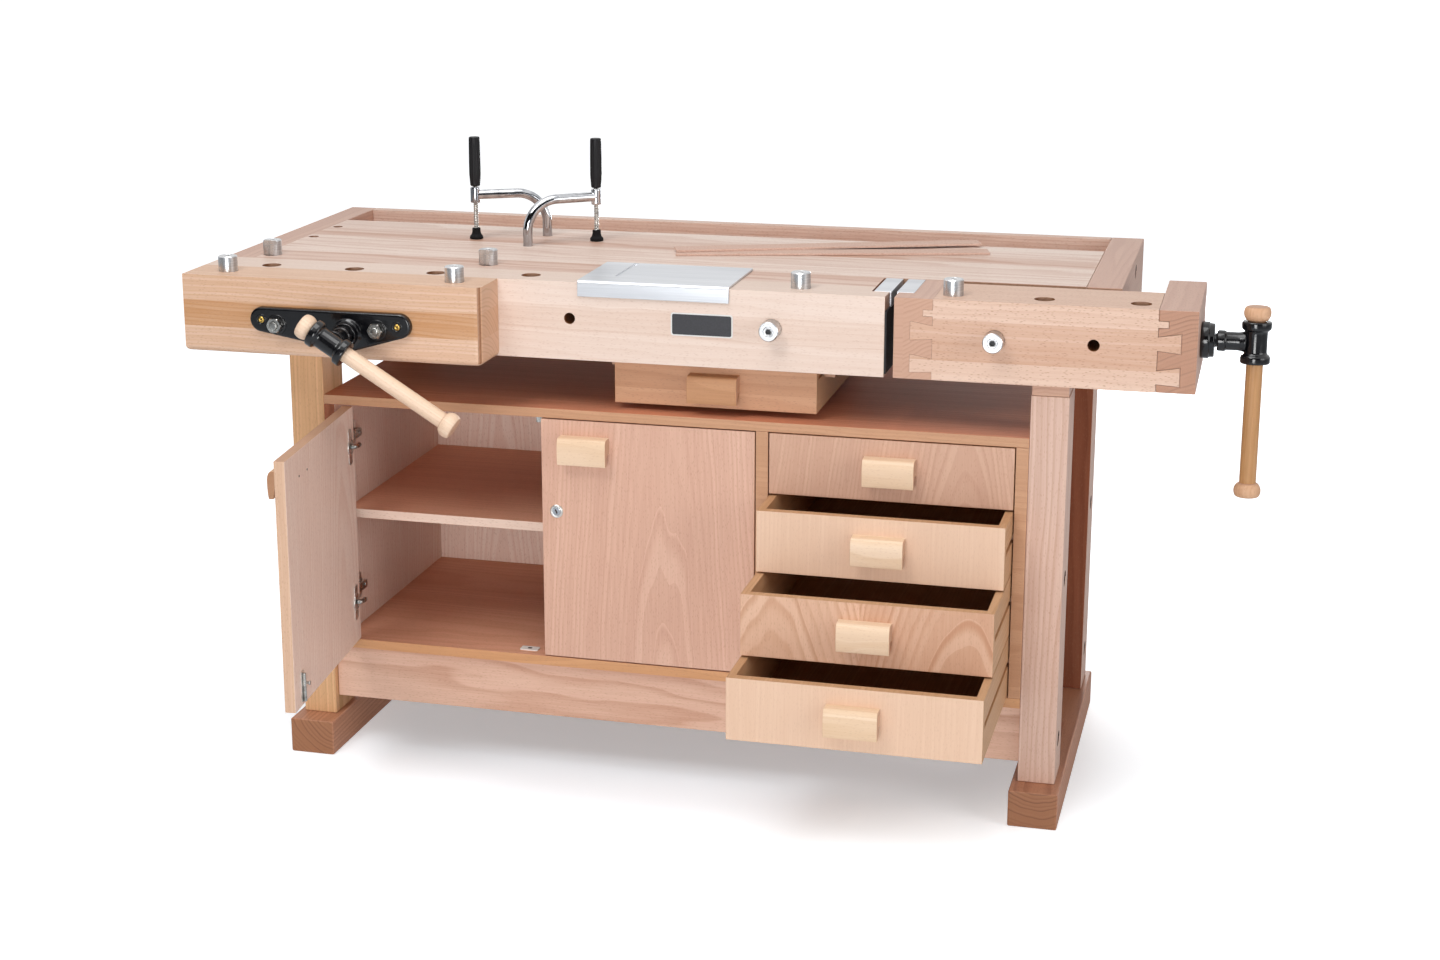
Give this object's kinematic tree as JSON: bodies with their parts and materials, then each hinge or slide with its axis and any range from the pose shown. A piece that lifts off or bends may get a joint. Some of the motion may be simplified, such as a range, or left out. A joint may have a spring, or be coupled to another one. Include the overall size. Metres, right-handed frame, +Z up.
{
  "type": "woodworking bench",
  "caption": "Joiner's workbench with front and tail vises, tool tray, dogs and hold-downs, over a cabinet with hinged doors, drawers and a hanging till.",
  "frame": {"origin": "on the floor, under the middle of the bench's box as pictured", "axes": "+X along the bench towards the tail vise, -Y to the user at the front, +Z up"},
  "size_m": [1.761, 0.9954, 1.044],
  "materials": {
    "beech": "oiled",
    "beech_veneer": "satin lacquer",
    "steamed_beech": "oiled",
    "turned_beech": "oiled",
    "black_enamel": "gloss enamel",
    "grey_iron": "as cast",
    "ground_steel": "ground",
    "aluminium": "turned",
    "chrome": "polished",
    "black_plastic": "moulded"
  },
  "bodies": {
    "bench": {"top_panel": "beech", "front_apron": "beech", "left_end_board": "beech", "right_end_board": "beech", "back_rail": "beech", "rear_beam": "beech", "left_bearer": "beech", "right_bearer": "beech", "front_stretcher": "beech", "rear_stretcher": "beech", "left_front_leg": "beech", "left_rear_leg": "beech", "right_front_leg": "beech", "right_rear_leg": "beech", "cabinet_top": "beech", "tray_floor": "beech_veneer", "cabinet_left_side": "beech_veneer", "cabinet_right_side": "beech_veneer", "cabinet_divider": "beech_veneer", "cabinet_bottom": "beech_veneer", "cabinet_back": "beech_veneer", "cabinet_shelf": "beech_veneer", "left_foot": "steamed_beech", "right_foot": "steamed_beech", "front_vise_nut": "grey_iron", "tail_vise_nut": "grey_iron", "fixed_jaw_plate": "ground_steel"},
    "front_jaw": {"front_jaw": "beech", "front_vise_plate": "black_enamel"},
    "front_screw": {"front_vise_screw": "black_enamel"},
    "front_handle": {"front_vise_handle": "turned_beech"},
    "tail_jaw": {"tail_jaw_block": "beech", "tail_front_beam": "beech", "tail_end_cap": "beech", "tail_vise_flange": "black_enamel", "tail_jaw_plate": "ground_steel"},
    "tail_screw": {"tail_vise_screw": "black_enamel"},
    "tail_handle": {"tail_vise_handle": "turned_beech"},
    "left_door": {"left_door": "beech_veneer"},
    "right_door": {"right_door": "beech_veneer"},
    "drawer_1": {"drawer_1": "beech_veneer"},
    "drawer_2": {"drawer_2": "beech_veneer"},
    "drawer_3": {"drawer_3": "beech_veneer"},
    "drawer_4": {"drawer_4": "beech_veneer"},
    "till_drawer": {"till_drawer": "beech_veneer"},
    "bench_plate": {"bench_plate": "ground_steel"},
    "jaw_dog_left": {"jaw_dog_left": "aluminium"},
    "jaw_dog_right": {"jaw_dog_right": "aluminium"},
    "apron_dog_top": {"apron_dog_top": "aluminium"},
    "apron_dog_front": {"apron_dog_front": "aluminium"},
    "tail_dog_top": {"tail_dog_top": "aluminium"},
    "tail_dog_front": {"tail_dog_front": "aluminium"},
    "wedge_dog_left": {"wedge_dog_left": "aluminium"},
    "wedge_dog_right": {"wedge_dog_right": "aluminium"},
    "front_holddown_arm": {"front_holddown_arm": "chrome"},
    "front_holddown_spindle": {"front_holddown_spindle": "black_plastic"},
    "front_holddown_pad": {"front_holddown_pad": "black_plastic"},
    "rear_holddown_arm": {"rear_holddown_arm": "chrome"},
    "rear_holddown_spindle": {"rear_holddown_spindle": "black_plastic"},
    "rear_holddown_pad": {"rear_holddown_pad": "black_plastic"}
  },
  "joints": [
    {"name": "front_jaw_slide", "type": "slide", "parent": "bench", "child": "front_jaw", "axis": [0, -1, 0], "range_m": [0, 0.18]},
    {"name": "front_screw_spin", "type": "hinge", "parent": "front_jaw", "child": "front_screw", "pos_m": [-0.5835, -0.31627, 0.775], "axis": [0, -1, 0], "range_deg": [-50, 60]},
    {"name": "front_handle_slide", "type": "slide", "parent": "front_screw", "child": "front_handle", "axis": [-0.8526, 0, 0.5225], "range_m": [0, 0.19]},
    {"name": "tail_jaw_slide", "type": "slide", "parent": "bench", "child": "tail_jaw", "axis": [1, 0, 0], "range_m": [-0.0075, 0.16]},
    {"name": "tail_screw_spin", "type": "hinge", "parent": "tail_jaw", "child": "tail_screw", "pos_m": [0.8575, -0.04027, 0.795], "axis": [1, 0, 0], "range_deg": [-450, 9600]},
    {"name": "tail_handle_slide", "type": "slide", "parent": "tail_screw", "child": "tail_handle", "axis": [0, 0.0523, 0.9986], "range_m": [0, 0.19]},
    {"name": "left_door_hinge", "type": "hinge", "parent": "bench", "child": "left_door", "pos_m": [-0.649, -0.14077, 0.415], "axis": [0, 0, 1], "range_deg": [-24, 84]},
    {"name": "right_door_hinge", "type": "hinge", "parent": "bench", "child": "right_door", "pos_m": [0.072, -0.14077, 0.415], "axis": [0, 0, 1], "range_deg": [0, 90]},
    {"name": "drawer_1_slide", "type": "slide", "parent": "bench", "child": "drawer_1", "axis": [0, -1, 0], "range_m": [0, 0.3]},
    {"name": "drawer_2_slide", "type": "slide", "parent": "bench", "child": "drawer_2", "axis": [0, -1, 0], "range_m": [-0.091, 0.209]},
    {"name": "drawer_3_slide", "type": "slide", "parent": "bench", "child": "drawer_3", "axis": [0, -1, 0], "range_m": [-0.199, 0.101]},
    {"name": "drawer_4_slide", "type": "slide", "parent": "bench", "child": "drawer_4", "axis": [0, -1, 0], "range_m": [-0.293, 0.007]},
    {"name": "till_slide", "type": "slide", "parent": "bench", "child": "till_drawer", "axis": [0, -1, 0], "range_m": [0, 0.25]},
    {"name": "jaw_dog_left_slide", "type": "slide", "parent": "front_jaw", "child": "jaw_dog_left", "axis": [0, 0, 1], "range_m": [-0.025, 0.03]},
    {"name": "jaw_dog_right_slide", "type": "slide", "parent": "front_jaw", "child": "jaw_dog_right", "axis": [0, 0, 1], "range_m": [-0.025, 0.03]},
    {"name": "apron_dog_top_slide", "type": "slide", "parent": "bench", "child": "apron_dog_top", "axis": [0, 0, 1], "range_m": [-0.025, 0.03]},
    {"name": "apron_dog_front_slide", "type": "slide", "parent": "bench", "child": "apron_dog_front", "axis": [0, -1, 0], "range_m": [-0.025, 0.03]},
    {"name": "tail_dog_top_slide", "type": "slide", "parent": "tail_jaw", "child": "tail_dog_top", "axis": [0, 0, 1], "range_m": [-0.025, 0.03]},
    {"name": "tail_dog_front_slide", "type": "slide", "parent": "tail_jaw", "child": "tail_dog_front", "axis": [0, -1, 0], "range_m": [-0.025, 0.03]},
    {"name": "wedge_dog_left_slide", "type": "slide", "parent": "bench", "child": "wedge_dog_left", "axis": [0, 0, 1], "range_m": [-0.025, 0.03]},
    {"name": "wedge_dog_right_slide", "type": "slide", "parent": "bench", "child": "wedge_dog_right", "axis": [0, 0, 1], "range_m": [-0.025, 0.03]},
    {"name": "front_holddown_arm_swivel", "type": "hinge", "parent": "bench", "child": "front_holddown_arm", "pos_m": [-0.4045, 0.16073, 0.86], "axis": [0, 0, 1], "range_deg": [-60, 20]},
    {"name": "front_holddown_pad_lift", "type": "slide", "parent": "front_holddown_arm", "child": "front_holddown_pad", "axis": [0, 0, 1], "range_m": [0, 0.035]},
    {"name": "front_holddown_spindle_spin", "type": "hinge", "parent": "front_holddown_pad", "child": "front_holddown_spindle", "pos_m": [-0.30123, 0.23969, 0.94], "axis": [0, 0, 1], "range_deg": [0, 4200]},
    {"name": "rear_holddown_arm_swivel", "type": "hinge", "parent": "bench", "child": "rear_holddown_arm", "pos_m": [-0.4045, 0.27173, 0.86], "axis": [0, 0, 1], "range_deg": [-60, 25]},
    {"name": "rear_holddown_pad_lift", "type": "slide", "parent": "rear_holddown_arm", "child": "rear_holddown_pad", "axis": [0, 0, 1], "range_m": [0, 0.035]},
    {"name": "rear_holddown_spindle_spin", "type": "hinge", "parent": "rear_holddown_pad", "child": "rear_holddown_spindle", "pos_m": [-0.51842, 0.2091, 0.94], "axis": [0, 0, 1], "range_deg": [0, 4200]},
    {"name": "bench_plate_lift", "type": "slide", "parent": "bench", "child": "bench_plate", "axis": [0, 0, 1], "range_m": [0, 0.12]}
  ],
  "couplings": [
    {"joint": "tail_jaw_slide", "follows": "tail_screw_spin", "m_per_rad": 0.00095493}
  ]
}
